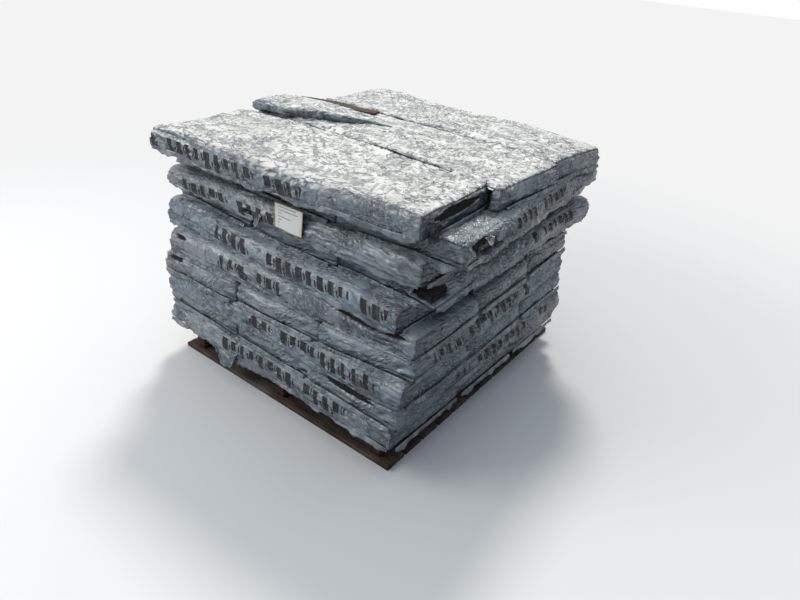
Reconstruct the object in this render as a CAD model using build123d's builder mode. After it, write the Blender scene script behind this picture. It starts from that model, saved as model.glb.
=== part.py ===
"""Pallet load of asphalt shingle bundles.

Ten courses of three film-wrapped bundles lie on a reversible wooden pallet.
Most courses cross the one below, so a course shows either its long film sides
or its folded film ends. Millimetres, +Z up, origin on the floor under the
middle of the sixth bottom board, so half a board pitch in front of the middle
of the pallet. +X runs along the front, +Y from the front to the back.
"""

from build123d import *
from math import copysign, cos, radians, sin
import os

os.makedirs("parts", exist_ok=True)

# Pallet: two decks of close boards on three stringers
deck_length = 932.0
board_width = 82.0
board_gap = 7.0
board_count = 12
board_thickness = 16.0
stringer_width = 38.0
stringer_height = 89.0
stringer_inset = 45.0
stringer_set_back = 14.0
board_pitch = board_width + board_gap
deck_depth = board_count * board_pitch - board_gap
pallet_height = 2 * board_thickness + stringer_height

# The origin is under a board, also where an even number of boards leaves a gap in the middle
boards_in_front = (board_count - 1) // 2
pallet_middle_y = ((board_count - 1) / 2 - boards_in_front) * board_pitch

# One wrapped bundle of shingles
bundle_length = 1004.0
bundle_width = 335.0
bundle_thickness = 68.0
film_edge_radius = 12.0
end_taper = 28.0
end_draw_in = 8.0
end_flatten_length = 14.0
end_flatten = 6.0
seal_length = 9.0
seal_width = 270.0
seal_thickness = 4.0
bundle_gap = 2.0
half_reach = bundle_length / 2 + seal_length

# Torn and open places in the film, where the shingle edges show
shingle_pitch = 5.0
shingle_gap = 1.6
shingle_gap_depth = 4.0
opening_depth = 15.0
end_opening_length = 236.0
end_opening_height = 30.0
end_opening_rise = 7.0
slot_height = 22.0
slot_rise = 7.0
long_slot_length = 262.0
long_slot_along = 348.0
short_slot_length = 196.0
tear_length = 150.0
tear_height = 46.0
tear_along = -383.0

# Lifted flap on the left end of the middle top bundle: a slanting outline that falls to the right
flap_height = 36.0
flap_shoulder_height = 30.0
flap_overhang = 20.0
flap_front_length = 170.0
flap_shoulder_length = 250.0
flap_length = 440.0
flap_end_width = 130.0
flap_tip_across = 70.0
flap_tip_width = 26.0

# Film lobe that hangs at the front
lobe_length = 116.0
lobe_drop = 58.0
lobe_thickness = 10.0
lobe_along = -190.0

# Paper tag hung on the front of the third course
tag_width = 108.0
tag_height = 76.0
tag_thickness = 0.8
tag_along = 50.0
tag_bottom = 6.0
tag_clearance = 0.5

# Courses from the floor up: way the bundles run, shift in x, front behind the front of the deck, turn in degrees
ACROSS = 0.0
BACK = 90.0
courses = [
    (ACROSS, -3.0, -28.0, -0.6),
    (BACK, -2.0, -17.5, -1.4),
    (ACROSS, 0.0, -20.0, 0.5),
    (BACK, -12.0, -5.5, 1.6),
    (ACROSS, -16.0, 12.0, 1.8),
    (ACROSS, -46.0, 30.0, -1.2),
    (BACK, -6.0, 78.5, -0.5),
    (ACROSS, -40.0, 46.0, 1.6),
    (BACK, -10.0, 74.5, -0.6),
]

# Top course, front to back: shift in x of each bundle, turn in degrees
top_course = [(-32.0, 2.6), (10.0, -0.6), (8.0, -2.6)]
top_front = 34.0

# Bundles that slid out of their course: along their own length, and aside
slips = {
    "bundle_02c": (14.0, 0.0),
    "bundle_04a": (0.0, 22.0),
    "bundle_04c": (12.0, 0.0),
    "bundle_07a": (-10.0, 0.0),
    "bundle_09b": (8.0, 0.0),
}

# Outer bundles that stand askew in their course, in degrees: they clear the middle one by that turn
twists = {
    "bundle_02a": -2.0,
    "bundle_02c": 4.0,
}


def fan(turn):
    """How far a bundle has to stand off its neighbour when it is turned against it."""
    return half_reach * sin(radians(abs(turn)))


def lying_plane(x, y, z, heading):
    """Plane on the underside of a piece: x along its length, y across it."""
    return Plane(Location((x, y, z), (0, 0, heading)))


def cross_plane(bed, along, height=0.0):
    """Upright plane across a bundle, at a distance along it from its middle."""
    return Plane(origin=bed.from_local_coords((along, 0, height)), x_dir=bed.y_dir, z_dir=bed.x_dir)


def end_plane(bed, side, rise):
    """Upright plane over one end seal of a bundle, facing away from it, above the middle of its height."""
    origin = bed.from_local_coords((side * half_reach, 0, bundle_thickness / 2 + rise))
    return Plane(origin=origin, x_dir=bed.y_dir * side, z_dir=bed.x_dir * side)


def side_plane(bed, across, along=0.0, height=0.0):
    """Upright plane along a bundle, facing out of its left-hand side."""
    origin = bed.from_local_coords((along, across, height))
    return Plane(origin=origin, x_dir=bed.x_dir, z_dir=-bed.y_dir)


def drawn_in(half_length, half_width, taper, draw_in):
    """Outline of a bundle seen square on: straight sides that draw in at both ends."""
    waist = half_length - taper
    tip = half_width - draw_in
    corners = [(waist, half_width), (half_length, tip), (half_length, -tip), (waist, -half_width)]
    Polyline(*corners, *[(-x, -y) for x, y in corners], close=True)


def wrapped_pack(bed):
    """Shingle pack in its film: rounded long edges, drawn-in ends, flat end seals."""
    middle_plane = cross_plane(bed, 0, bundle_thickness / 2)
    with BuildPart() as pack:
        with BuildSketch(middle_plane):
            RectangleRounded(bundle_width, bundle_thickness, film_edge_radius)
        extrude(amount=bundle_length / 2, both=True)
        with BuildSketch(bed):
            with BuildLine():
                drawn_in(bundle_length / 2, bundle_width / 2, end_taper, end_draw_in)
            make_face()
        extrude(amount=bundle_thickness, mode=Mode.INTERSECT)
        with BuildSketch(side_plane(bed, 0, 0, bundle_thickness / 2)):
            with BuildLine():
                drawn_in(bundle_length / 2, bundle_thickness / 2, end_flatten_length, end_flatten)
            make_face()
        extrude(amount=bundle_width, both=True, mode=Mode.INTERSECT)
        with BuildSketch(middle_plane):
            Rectangle(seal_width, seal_thickness)
        extrude(amount=half_reach, both=True)
    return pack.part


def shingle_rows(opening_plane, length, height, depth):
    """Gaps between the shingle edges that show across an opening."""
    rows = int(height / shingle_pitch)
    with BuildPart(mode=Mode.PRIVATE) as gaps:
        with BuildSketch(opening_plane):
            with GridLocations(0, shingle_pitch, 1, rows):
                Rectangle(length, shingle_gap)
        extrude(amount=-(depth + shingle_gap_depth))
    return gaps.part


def lens_opening(face_plane, length, height, depth, pack):
    """Lens-shaped mouth in the film with the shingle edges on its floor."""
    with BuildPart() as opened:
        add(pack)
        with BuildSketch(face_plane):
            with BuildLine():
                ThreePointArc((-length / 2, 0), (0, height / 2), (length / 2, 0))
                ThreePointArc((length / 2, 0), (0, -height / 2), (-length / 2, 0))
            make_face()
        extrude(amount=-depth, mode=Mode.SUBTRACT)
        add(shingle_rows(face_plane, length * 0.72, height * 0.72, depth), mode=Mode.SUBTRACT)
    return opened.part


def slot_opening(face_plane, length, height, depth, pack):
    """Straight split in the film, one end narrower, with the shingle edges inside."""
    with BuildPart() as opened:
        add(pack)
        with BuildSketch(face_plane):
            with BuildLine():
                Polyline(
                    (-length / 2, height * 0.1),
                    (-length * 0.28, height / 2),
                    (length / 2, height / 2),
                    (length / 2, -height / 2),
                    (-length * 0.18, -height * 0.3),
                    close=True,
                )
            make_face()
        extrude(amount=-depth, mode=Mode.SUBTRACT)
        add(shingle_rows(face_plane, length * 0.62, height * 0.8, depth), mode=Mode.SUBTRACT)
    return opened.part


def lifted_flap(bed, pack):
    """Film and shingles lifted at the left end of a bundle: a slanting wedge that falls to the right."""
    left = -bundle_length / 2
    front = -bundle_width / 2 - flap_overhang
    tip_front = flap_tip_across - flap_tip_width
    top = bundle_thickness
    with BuildPart() as lifted:
        with BuildSketch(bed.offset(top)):
            with BuildLine():
                Polyline(
                    (left, front),
                    (left + flap_front_length, front),
                    (left + flap_length, tip_front),
                    (left + flap_length, flap_tip_across),
                    (left + flap_shoulder_length, flap_tip_across),
                    (left, front + flap_end_width),
                    close=True,
                )
            make_face()
        extrude(amount=flap_height)
        with BuildSketch(side_plane(bed, 0)):
            with BuildLine():
                Polyline(
                    (left, top),
                    (left, top + flap_height),
                    (left + flap_shoulder_length, top + flap_shoulder_height),
                    (left + flap_length, top),
                    close=True,
                )
            make_face()
        extrude(amount=bundle_width, both=True, mode=Mode.INTERSECT)
        add(pack)
    return lifted.part


def hanging_lobe(bed, pack):
    """Tongue of slack film that hangs from the front of a bundle past its underside."""
    with BuildPart() as hung:
        add(pack)
        with BuildSketch(side_plane(bed, -bundle_width / 2 - lobe_thickness / 2, lobe_along)):
            with BuildLine():
                Polyline(
                    (lobe_length / 2, 0),
                    (lobe_length / 2, film_edge_radius * 2),
                    (-lobe_length / 2, film_edge_radius * 2),
                    (-lobe_length / 2, 0),
                )
                ThreePointArc((-lobe_length / 2, 0), (-lobe_length * 0.2, -lobe_drop), (lobe_length / 2, 0))
            make_face()
        extrude(amount=-lobe_thickness)
    return hung.part


# Stringers, front to back
outer_stringer = deck_length / 2 - stringer_inset - stringer_width / 2
for name, x in (("left", -outer_stringer), ("middle", 0.0), ("right", outer_stringer)):
    with BuildPart() as stringer:
        with BuildSketch(Plane.XY.offset(board_thickness)):
            with Locations((x, pallet_middle_y)):
                Rectangle(stringer_width, deck_depth - 2 * stringer_set_back)
        extrude(amount=stringer_height)
    stringer.part.label = f"stringer_{name}"
    export_step(stringer.part, f"parts/stringer_{name}.step")

# Bottom and top deck boards, numbered from the front
for deck, level in (("bottom", 0.0), ("top", board_thickness + stringer_height)):
    for number in range(board_count):
        board_y = (number - boards_in_front) * board_pitch
        with BuildPart() as board:
            with BuildSketch(Plane.XY.offset(level)):
                with Locations((0, board_y)):
                    Rectangle(deck_length, board_width)
            extrude(amount=board_thickness)
        board.part.label = f"{deck}_board_{number + 1:02d}"
        export_step(board.part, f"parts/{deck}_board_{number + 1:02d}.step")

# Where each bundle lies: course 10 is on the pallet and course 1 is the top
deck_front = pallet_middle_y - deck_depth / 2
course_depth = {ACROSS: 3 * bundle_width + 2 * bundle_gap, BACK: bundle_length}
places = {}
for rise, (run, shift_x, front, turn) in enumerate(courses):
    level = pallet_height + rise * bundle_thickness
    middle_y = deck_front + front + course_depth[run] / 2
    heading = run + turn
    for slot, letter in enumerate("abc"):
        aside = (slot - 1) * (bundle_width + bundle_gap)
        if run == BACK:
            aside = -aside
        name = f"bundle_{10 - rise:02d}{letter}"
        slip, push = slips.get(name, (0.0, 0.0))
        twist = twists.get(name, 0.0)
        across = aside + push + copysign(fan(twist), aside)
        x = shift_x - across * sin(radians(heading)) + slip * cos(radians(heading))
        y = middle_y + across * cos(radians(heading)) + slip * sin(radians(heading))
        places[name] = lying_plane(x, y, level, heading + twist)

# The top course fans out: each outer bundle clears the middle one by its own turn
top_level = pallet_height + len(courses) * bundle_thickness
top_middle_y = deck_front + top_front + course_depth[ACROSS] / 2
middle_turn = top_course[1][1]
for side, letter, (x, turn) in zip((-1, 0, 1), "abc", top_course):
    y = top_middle_y + side * (bundle_width + bundle_gap + fan(turn - middle_turn))
    places[f"bundle_01{letter}"] = lying_plane(x, y, top_level, turn)

# The bundles, with the openings and loose film that show
end_depth = opening_depth + seal_length
for name, bed in places.items():
    solid = wrapped_pack(bed)
    if name == "bundle_01a":
        face = end_plane(bed, 1, end_opening_rise)
        solid = lens_opening(face, end_opening_length, end_opening_height, end_depth, solid)
    if name == "bundle_01b":
        solid = lifted_flap(bed, solid)
    if name == "bundle_02c":
        face = side_plane(bed, -bundle_width / 2, tear_along, bundle_thickness / 2)
        solid = lens_opening(face, tear_length, tear_height, opening_depth, solid)
    if name == "bundle_06a":
        face = side_plane(bed, -bundle_width / 2, long_slot_along, bundle_thickness / 2 + slot_rise)
        solid = slot_opening(face, long_slot_length, slot_height, opening_depth, solid)
    if name == "bundle_09c":
        solid = slot_opening(end_plane(bed, -1, slot_rise), short_slot_length, slot_height, end_depth, solid)
    if name == "bundle_10a":
        solid = hanging_lobe(bed, solid)
    solid.label = name
    export_step(solid, f"parts/{name}.step")

# Paper tag against the front of the third course, clear of the end of the second course above it
tagged = places["bundle_03a"]
above = places["bundle_02b"]
end_corners = [above.from_local_coords((-half_reach, side * seal_width / 2, 0)) for side in (-1, 1)]
front_reach = min(tagged.to_local_coords(corner).Y for corner in end_corners)
tag_across = min(-bundle_width / 2, front_reach - tag_clearance)
tag_plane = side_plane(tagged, tag_across, tag_along, tag_bottom + tag_height / 2)
with BuildPart() as tag:
    with BuildSketch(tag_plane):
        Rectangle(tag_width, tag_height)
    extrude(amount=tag_thickness)
tag.part.label = "paper_tag"
export_step(tag.part, "parts/paper_tag.step")
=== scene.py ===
"""Film, shingle edges, pallet wood, paper tag and stage for a pallet of wrapped shingle bundles."""

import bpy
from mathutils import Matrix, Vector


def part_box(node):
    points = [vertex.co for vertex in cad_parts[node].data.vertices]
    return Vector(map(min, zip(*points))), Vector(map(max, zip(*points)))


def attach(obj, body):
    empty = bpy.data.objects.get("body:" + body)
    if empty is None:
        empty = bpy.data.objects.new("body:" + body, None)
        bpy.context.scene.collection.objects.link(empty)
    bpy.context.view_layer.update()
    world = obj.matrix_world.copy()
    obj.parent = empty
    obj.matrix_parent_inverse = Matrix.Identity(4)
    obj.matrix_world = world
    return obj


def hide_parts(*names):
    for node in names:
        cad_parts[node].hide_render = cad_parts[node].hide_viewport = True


bl_info = {
    "name": "Wrapped shingle pallet",
    "version": (1, 0, 0),
    "blender": (4, 5, 0),
    "location": "View3D > Sidebar > Shingle pallet",
    "description": "Dresses a pallet load of film-wrapped shingle bundles",
    "category": "Object",
}

import math

import bpy
import numpy as np
from bpy.props import FloatProperty, FloatVectorProperty, PointerProperty
from mathutils import Matrix

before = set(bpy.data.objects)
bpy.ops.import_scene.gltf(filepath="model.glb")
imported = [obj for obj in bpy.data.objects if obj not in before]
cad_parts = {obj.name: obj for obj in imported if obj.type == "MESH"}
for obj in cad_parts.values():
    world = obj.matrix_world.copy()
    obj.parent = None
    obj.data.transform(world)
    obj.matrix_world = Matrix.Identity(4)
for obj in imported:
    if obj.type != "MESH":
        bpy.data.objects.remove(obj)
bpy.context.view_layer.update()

BODY = "root"

# Camera at the photograph's place, for an 800 x 600 frame
FRAME_WIDTH = 800
SENSOR_WIDTH = 36.0
CAMERA_AT = (1.206, -1.5885, 1.337)
CAMERA_AZIMUTH = 34.42
CAMERA_ELEVATION = 29.75
CAMERA_ROLL = 5.60
CAMERA_FOCAL_PIXELS = 622.6


# Repeatable noise

class Lattice:
    """Smooth noise between -1 and 1 on a repeating 3-D lattice."""

    CORNERS = [(i, j, k) for i in (0, 1) for j in (0, 1) for k in (0, 1)]

    def __init__(self, seed):
        rng = np.random.default_rng(seed)
        self.order = rng.permutation(256)
        slopes = rng.normal(size=(256, 3))
        self.slopes = slopes / np.linalg.norm(slopes, axis=1, keepdims=True)

    def __call__(self, points):
        cell = np.floor(points).astype(int)
        part = points - cell
        ease = part ** 3 * (part * (part * 6 - 15) + 10)
        total = np.zeros(len(points))
        for corner in self.CORNERS:
            at = (cell + corner) & 255
            key = self.order[(self.order[(self.order[at[:, 0]] + at[:, 1]) & 255] + at[:, 2]) & 255]
            rise = np.einsum("ij,ij->i", self.slopes[key], part - corner)
            share = np.prod(np.where(corner, ease, 1 - ease), axis=1)
            total += rise * share
        return 1.6 * total


LATTICES = {}


def noise(points, size, seed):
    """Noise whose features are about size metres, one size for each axis or one for all."""
    lattice = LATTICES.setdefault(seed % 17, Lattice(seed % 17))
    return lattice(points / np.asarray(size, float) + seed * 7.31)


def layered(points, size, seed, octaves=3):
    """Noise with finer and finer detail."""
    size = np.asarray(size, float)
    return sum(noise(points, size / 2 ** o, seed + o) / 2 ** o for o in range(octaves)) / 1.6


def crests(field, steep, sharp=1.0):
    """1 where a field is 0, falling to 0 on both sides of it."""
    return np.clip(1 - np.abs(field) * steep, 0, 1) ** sharp


def ridges(points, size, seed, sharp=2.0):
    """Thin crests of noise."""
    return crests(noise(points, size, seed), 2.2, sharp)


def bell(off, reach):
    """1 at no offset, falling softly to 0 past the reach."""
    return np.exp(-(off / reach) ** 2)


def smooth_step(low, high, value):
    t = np.clip((value - low) / (high - low), 0, 1)
    return t * t * (3 - 2 * t)


def near_edge(value, half, start, full=0.0):
    """0 to 1 between two distances from the edges, which lie at half on both sides."""
    return smooth_step(half - start, half - full, np.abs(value))


def columns(x, y, z):
    """Points from their three coordinates, each an array or one number for all."""
    return np.stack(np.broadcast_arrays(x, y, z), axis=1)


def spin(x, y, turn):
    """Both values of a place turned about the middle."""
    c, s = math.cos(turn), math.sin(turn)
    return x * c - y * s, x * s + y * c


# Meshes

def grid_box(xs, ys, zs):
    """Points and four-sided faces on the surface of a box cut at the given stations."""
    shape = (len(xs), len(ys), len(zs))
    i, j, k = np.indices(shape)
    skin = np.zeros(shape, bool)
    for axis in range(3):
        ends = [slice(None)] * 3
        for end in (0, -1):
            ends[axis] = end
            skin[tuple(ends)] = True
    number = np.full(shape, -1)
    number[skin] = np.arange(skin.sum())
    points = np.stack([xs[i[skin]], ys[j[skin]], zs[k[skin]]], axis=1)
    quads = []
    for axis in range(3):
        for end in (0, -1):
            side = np.take(number, end, axis=axis)
            loop = [side[:-1, :-1], side[1:, :-1], side[1:, 1:], side[:-1, 1:]]
            flip = (end == 0) == (axis != 1)
            quads.append(np.stack(loop[::-1] if flip else loop, axis=-1).reshape(-1, 4))
    return points, np.concatenate(quads)


def stations(half, fine, coarse=None, low_band=None, high_band=None):
    """Cuts from -half to half: fine within a band of each end, coarse between."""
    if coarse is None:
        return np.linspace(-half, half, max(2, int(round(2 * half / fine)) + 1))
    low = np.arange(0, low_band, fine) - half
    high = half - np.arange(0, high_band, fine)[::-1]
    count = max(2, int(round((high[0] - low[-1]) / coarse)))
    return np.concatenate([low, np.linspace(low[-1], high[0], count + 1)[1:-1], high])


def sheet(half):
    """Both faces of a thin sheet."""
    return np.array([-half, half])


def rounded(points, half, radius, low_radius=None):
    """Points of a box pulled onto rounded edges, and the outward direction at each."""
    bend = np.full(len(points), radius)
    if low_radius is not None:
        bend = np.where(points[:, 2] < 0, low_radius, radius)
    room = half - bend[:, None]
    core = np.clip(points, -room, room)
    out = points - core
    length = np.linalg.norm(out, axis=1, keepdims=True)
    way = out / np.maximum(length, 1e-9)
    return core + way * bend[:, None], way


def open_faces(points, quads, hidden):
    """Drops the faces whose corners are all hidden, and closes each hole with one face."""
    keep = ~hidden[quads].all(axis=1)
    kept = quads[keep]
    edges = np.concatenate([kept[:, [a, (a + 1) % 4]] for a in range(4)])
    follow = {}
    there = set(map(tuple, edges.tolist()))
    for a, b in edges.tolist():
        if (b, a) not in there:
            follow[b] = a
    caps = []
    while follow:
        start, at = follow.popitem()
        loop = [start]
        while at != start:
            loop.append(at)
            at = follow.pop(at)
        caps.append(loop)
    used = np.unique(np.concatenate([kept.ravel()] + [np.array(c) for c in caps]))
    renumber = np.full(len(points), -1)
    renumber[used] = np.arange(len(used))
    faces = renumber[kept].tolist() + [[int(renumber[v]) for v in c] for c in caps]
    return used, faces


def linked(name, data):
    """Object for some data, in the scene."""
    made = bpy.data.objects.new(name, data)
    bpy.context.scene.collection.objects.link(made)
    return made


def make_object(name, points, faces, finish, slot, attributes=None, replaces=None, smooth=True):
    """Mesh object that rides on the load's body, with its named values on the points."""
    mesh = bpy.data.meshes.new(name)
    faces = faces if isinstance(faces, list) else faces.tolist()
    mesh.from_pydata(np.asarray(points).tolist(), [], faces)
    mesh.update()
    for key, values in (attributes or {}).items():
        values = np.asarray(values, np.float32)
        kind = "FLOAT_VECTOR" if values.ndim == 2 else "FLOAT"
        layer = mesh.attributes.new(key, kind, "POINT")
        layer.data.foreach_set("vector" if values.ndim == 2 else "value", values.ravel())
    mesh.shade_smooth() if smooth else mesh.shade_flat()
    mesh.materials.append(finish)
    piece = linked(name, mesh)
    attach(piece, BODY)
    if replaces:
        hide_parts(replaces)
    return piece


# Material helpers

def rgba(colour):
    """Colour with full alpha. A socket is passed on as it is."""
    return colour if isinstance(colour, bpy.types.NodeSocket) else (*colour[:3], 1.0)


class Nodes:
    """Adds nodes to one shader tree. Each method gives back an output of its node."""

    WARP_REACH = (0.030, 0.026, 0.026)

    def __init__(self, tree):
        self.tree = tree

    def feed(self, node, inputs):
        """Sets or links inputs of a node, by name or in their order."""
        for key, value in (inputs.items() if isinstance(inputs, dict) else enumerate(inputs)):
            if isinstance(value, bpy.types.NodeSocket):
                self.tree.links.new(value, node.inputs[key])
            elif value is not None:
                node.inputs[key].default_value = value

    def put(self, kind, inputs=(), out=0, **settings):
        node = self.tree.nodes.new(kind)
        for key, value in settings.items():
            setattr(node, key, value)
        self.feed(node, inputs)
        return node.outputs[out]

    def group(self, group, **inputs):
        return self.put("ShaderNodeGroup", inputs, node_tree=group).node.outputs

    def math(self, operation, *values):
        """Maths on one or two values, or one after another on more."""
        result = self.put("ShaderNodeMath", values[:2], operation=operation)
        for value in values[2:]:
            result = self.put("ShaderNodeMath", (result, value), operation=operation)
        return result

    def times(self, *values):
        return self.math("MULTIPLY", *values)

    def plus(self, *values):
        return self.math("ADD", *values)

    def minus(self, *values):
        return self.math("SUBTRACT", *values)

    def most(self, *values):
        return self.math("MAXIMUM", *values)

    def over(self, value, limit):
        return self.math("GREATER_THAN", value, limit)

    def under(self, value, limit):
        return self.math("LESS_THAN", value, limit)

    def mix(self, share, first, second):
        """Blend of two colours."""
        inputs = {0: share, 6: rgba(first), 7: rgba(second)}
        return self.put("ShaderNodeMix", inputs, out=2, data_type="RGBA")

    def ramp(self, value, low, high, start=0.0, end=1.0):
        limits = (value, low, high, start, end)
        return self.put("ShaderNodeMapRange", limits, interpolation_type="SMOOTHSTEP")

    def scale(self, vector, scale):
        return self.put("ShaderNodeVectorMath", (vector, scale), operation="MULTIPLY")

    def shift(self, vector, offset):
        return self.put("ShaderNodeVectorMath", (vector, offset), operation="ADD")

    def split(self, vector):
        return self.put("ShaderNodeSeparateXYZ", (vector,)).node.outputs

    def cloud(self, vector, scale, detail=3.0, rough=0.55):
        inputs = {"Vector": vector, "Scale": scale, "Detail": detail, "Roughness": rough}
        return self.put("ShaderNodeTexNoise", inputs)

    def value(self, name, out="Fac"):
        return self.put("ShaderNodeAttribute", out=out, attribute_name=name)

    def dice(self, number):
        return self.put("ShaderNodeTexWhiteNoise", {"W": number}, noise_dimensions="1D")

    def bump(self, height, distance, strength=1.0):
        inputs = {"Height": height, "Distance": distance, "Strength": strength}
        return self.put("ShaderNodeBump", inputs, out="Normal")

    def warped(self, place, scale, detail):
        """Place pushed about by broad noise."""
        inputs = {"Vector": place, "Scale": scale, "Detail": detail}
        push = self.put("ShaderNodeTexNoise", inputs, out=1)
        return self.shift(place, self.scale(push, self.WARP_REACH))

    def cells(self, place, turn, long, wide):
        """Distance to the edge of long cells that lie at a slant, and the turned place."""
        inputs = {"Vector": place, "Rotation": turn}
        turned = self.put("ShaderNodeVectorRotate", inputs, rotation_type="EULER_XYZ")
        inputs = {"Vector": self.scale(turned, (1 / long, 1 / wide, 1 / wide)), "Scale": 1.0}
        return self.put("ShaderNodeTexVoronoi", inputs, feature="DISTANCE_TO_EDGE"), turned


SOCKETS = {"VALUE": "NodeSocketFloat", "VECTOR": "NodeSocketVector", "RGBA": "NodeSocketColor"}


def shader_group(name, inputs, build):
    """Node group with named inputs and outputs, built once and then reused."""
    if name in bpy.data.node_groups:
        return bpy.data.node_groups[name]
    tree = bpy.data.node_groups.new(name, "ShaderNodeTree")
    for label, default in inputs.items():
        kind = "VECTOR" if default is None else "RGBA" if isinstance(default, tuple) else "VALUE"
        socket = tree.interface.new_socket(label, in_out="INPUT", socket_type=SOCKETS[kind])
        if default is not None:
            socket.default_value = default
    results = build(Nodes(tree), tree.nodes.new("NodeGroupInput").outputs)
    for label, result in results.items():
        tree.interface.new_socket(label, in_out="OUTPUT", socket_type=SOCKETS[result.type])
    Nodes(tree).feed(tree.nodes.new("NodeGroupOutput"), results)
    return tree


# Tension facets: slant on the sides and on the top in radians, length and width in metres, share
TENSION = [
    (-0.05, 0.05, 0.240, 0.0150, 0.45),
    (-0.66, 0.45, 0.190, 0.0125, 0.60),
    (-0.50, 0.30, 0.360, 0.0420, 0.85),
]
BROAD_FACET = 0.03
FACET_MIDDLE = 0.42

# Creases on the open top, raised as bumps and drawn dark as painted shade: turn in radians, length and
# width of their cells in metres
SCRIBBLES = [(0.12, 0.062, 0.021), (-0.55, 0.055, 0.025)]

# Printed rows on the top: place across the bundle, height, pitch, darkness
TOP_ROWS = [(-0.095, 0.050, 0.023, 1.0), (0.0, 0.028, 0.015, 0.7), (0.085, 0.044, 0.020, 0.9)]
TOP_REACH = 0.40
TOP_FROM = 0.030
SIDE_ROW = 0.041
SIDE_FROM = -0.150

# Colours that stay the same in every version of the load
# Painted shade: near black laid into the film's creases, fold valleys, end tucks and along the foot of
# each course
CREASE_SHADE = (0.022, 0.028, 0.037)
# Painted shade in the creases of dusty film
DUSTY_CREASE_SHADE = (0.10, 0.10, 0.10)
INK = (0.010, 0.011, 0.013)
# Painted shade: near black film sunk in the openings
HOLLOW_SHADE = (0.006, 0.007, 0.009)
BLACK_GRANULES = ((0.006, 0.006, 0.007), (0.06, 0.06, 0.062))
BROWN_GRANULES = ((0.05, 0.03, 0.02), (0.17, 0.12, 0.085))
CUT_REDS = ((0.035, 0.013, 0.009), (0.11, 0.042, 0.026))
WEATHERED_GREY = (0.19, 0.17, 0.15)
# Dirt near the board ends, and painted shade in the splits
GRIME_AND_SPLIT_SHADE = (0.012, 0.01, 0.009)
# Card tones that the fibre noise mixes at random
CARD_FIBRE_DULL = (0.86, 0.87, 0.87)
CARD_WHITE = (0.92, 0.93, 0.93)
RULED_GREY = (0.12, 0.14, 0.17)
RIM_YELLOW = (0.66, 0.58, 0.22)

# Relief of the fine bumps, in metres
FILM_RELIEF = 0.0062
GRIT_RELIEF = 0.0008
GRAIN_RELIEF = 0.0016
PAPER_RELIEF = 0.0002

# Ruled lines of the tag: distance from line to line, and where they start
RULED_PITCH = 0.0095
RULED_START = -0.04


def crinkle_group():
    """Long flat facets of taut film that meet in sharp creases, around a height of a half, and the
    crease lines that the film material darkens as painted shade.
    """
    def build(n, given):
        place = given["Position"]
        moved = n.warped(place, 9.0, 3.0)
        height, line = FACET_MIDDLE, 0.0
        for number, (side, top, long, wide, share) in enumerate(TENSION):
            border, _ = n.cells(moved, (0.0, side, -top), long, wide)
            placed = n.shift(place, (number * 3.1, 0, 0))
            patch = n.ramp(n.cloud(placed, 7.0, 1.0), 0.44, 0.60, 0.04, 1.0)
            roof = n.times(n.minus(n.ramp(border, 0.0, 0.42), FACET_MIDDLE), patch)
            if wide > BROAD_FACET:
                roof = n.times(roof, given["Broad"])
            height = n.plus(height, n.times(roof, share))
            line = n.most(line, n.times(n.ramp(border, 0.02, 0.14, 1.0, 0.0), patch))
        fine = n.cloud(n.scale(moved, (1.0, 2.6, 2.6)), 42.0, 2.0, 0.5)
        where = n.ramp(n.cloud(place, 16.0, 2.0), 0.46, 0.64)
        return {"Height": n.plus(height, n.times(fine, 0.13)), "Line": n.times(line, where)}
    return shader_group("Film crinkle", {"Position": None, "Broad": 1.0}, build)


def scribble_group():
    """Short dark wandering creases on film that lies flat in the open; their darkness is painted crease
    shade.
    """
    def build(n, given):
        moved = n.warped(given["Position"], 34.0, 2.0)
        mark = 0.0
        for turn, long, wide in SCRIBBLES:
            border, turned = n.cells(moved, (0.0, 0.0, turn), long, wide)
            broken = n.ramp(n.cloud(turned, 24.0 - 20 * turn, 2.0), 0.47, 0.55)
            mark = n.most(mark, n.times(n.ramp(border, 0.03, 0.10, 1.0, 0.0), broken))
        return {"Mask": mark}
    return shader_group("Film scribbles", {"Position": None}, build)


def blocks_group():
    """Row of bold slanted blocks printed between two heights, tall and short ones, some missing."""
    def build(n, given):
        def near(value, middle, reach):
            return n.under(n.math("ABSOLUTE", n.minus(value, middle)), reach)

        off = n.minus(given["Up"], given["Middle"])
        level = n.math("DIVIDE", off, given["Height"])
        step = n.math("DIVIDE", n.plus(given["Along"], n.times(off, 0.32)), given["Pitch"])
        cell = n.math("FLOOR", step)
        place = n.math("FRACT", step)
        own = n.plus(cell, given["Seed"])
        dice = n.dice(own)
        again = n.math("FRACT", n.times(dice, 7.3))
        inside = n.under(place, n.plus(0.34, n.times(dice, 0.34)))
        lean = n.times(n.minus(again, 0.5), 0.5)
        short = n.over(again, 0.62)
        band = near(level, n.times(short, lean, 0.9), n.minus(0.5, n.times(short, 0.16)))
        extra = n.times(near(place, 0.84, 0.085), near(level, lean, 0.25))
        shown = n.over(n.math("FRACT", n.times(own, 0.1031)), 0.12)
        span = near(given["Along"], given["Centre"], given["Reach"])
        worn = n.ramp(n.cloud(given["Position"], 60.0, 4.0, 0.7), 0.30, 0.38, 0.6, 1.0)
        return {"Mask": n.times(n.most(n.times(inside, band), extra), shown, span, worn)}
    inputs = {"Position": None, "Along": 0.0, "Up": 0.0, "Middle": 0.0, "Height": 0.034,
              "Pitch": 0.022, "Centre": 0.0, "Reach": 0.3, "Seed": 0.0}
    return shader_group("Printed blocks", inputs, build)


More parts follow.
